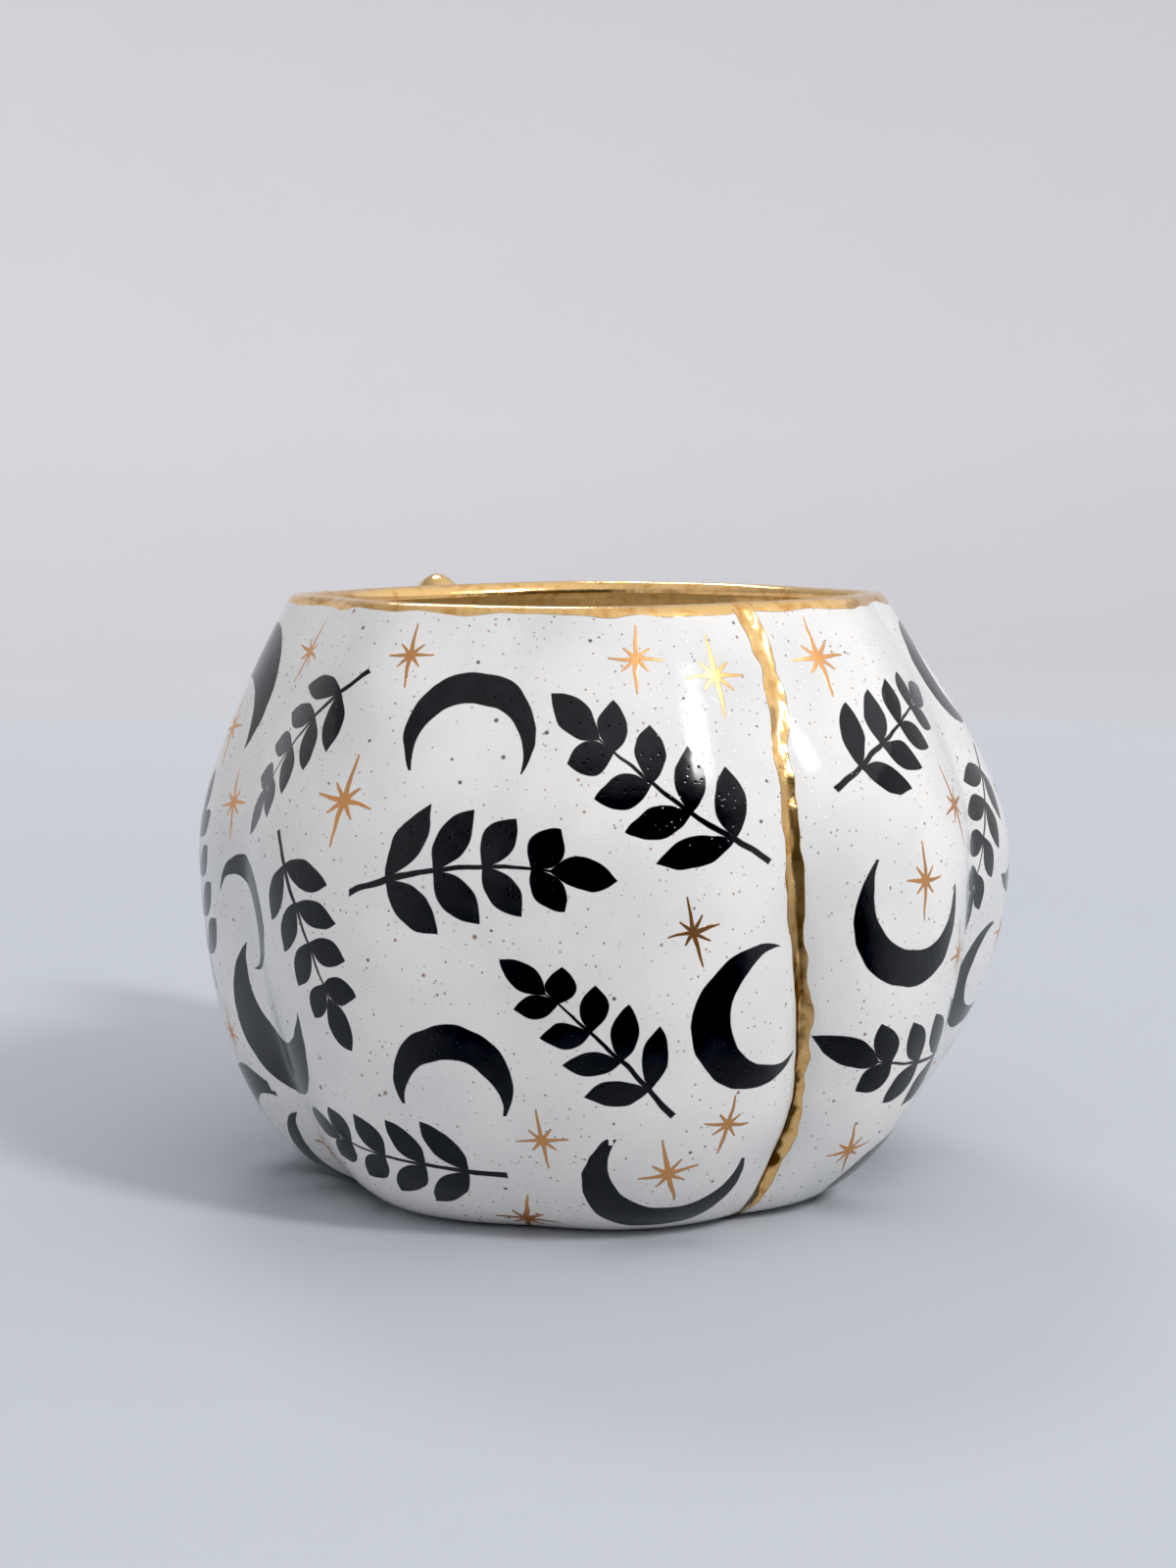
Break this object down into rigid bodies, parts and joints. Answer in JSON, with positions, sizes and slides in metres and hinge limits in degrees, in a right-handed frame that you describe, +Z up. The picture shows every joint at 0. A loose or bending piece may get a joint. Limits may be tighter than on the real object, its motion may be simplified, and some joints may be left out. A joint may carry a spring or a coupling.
{
  "type": "mug",
  "caption": "Hand-built stoneware mug with a plump lobed body, one deep gold-lined crease, a gold rim and a round ear handle.",
  "frame": {"origin": "centre of the flat underside that the mug stands on", "axes": "+Z up through the mouth; the deep crease faces -Y and the handle stands out along +Y; +X is to the right of the crease"},
  "size_m": [0.1245, 0.1573, 0.0921],
  "materials": {
    "glazed_stoneware": "glossy clear glaze over speckled white clay, with black brush decoration and gold lustre on rim, crease and stars"
  },
  "bodies": {
    "root": {"mug": "glazed_stoneware"}
  },
  "joints": []
}
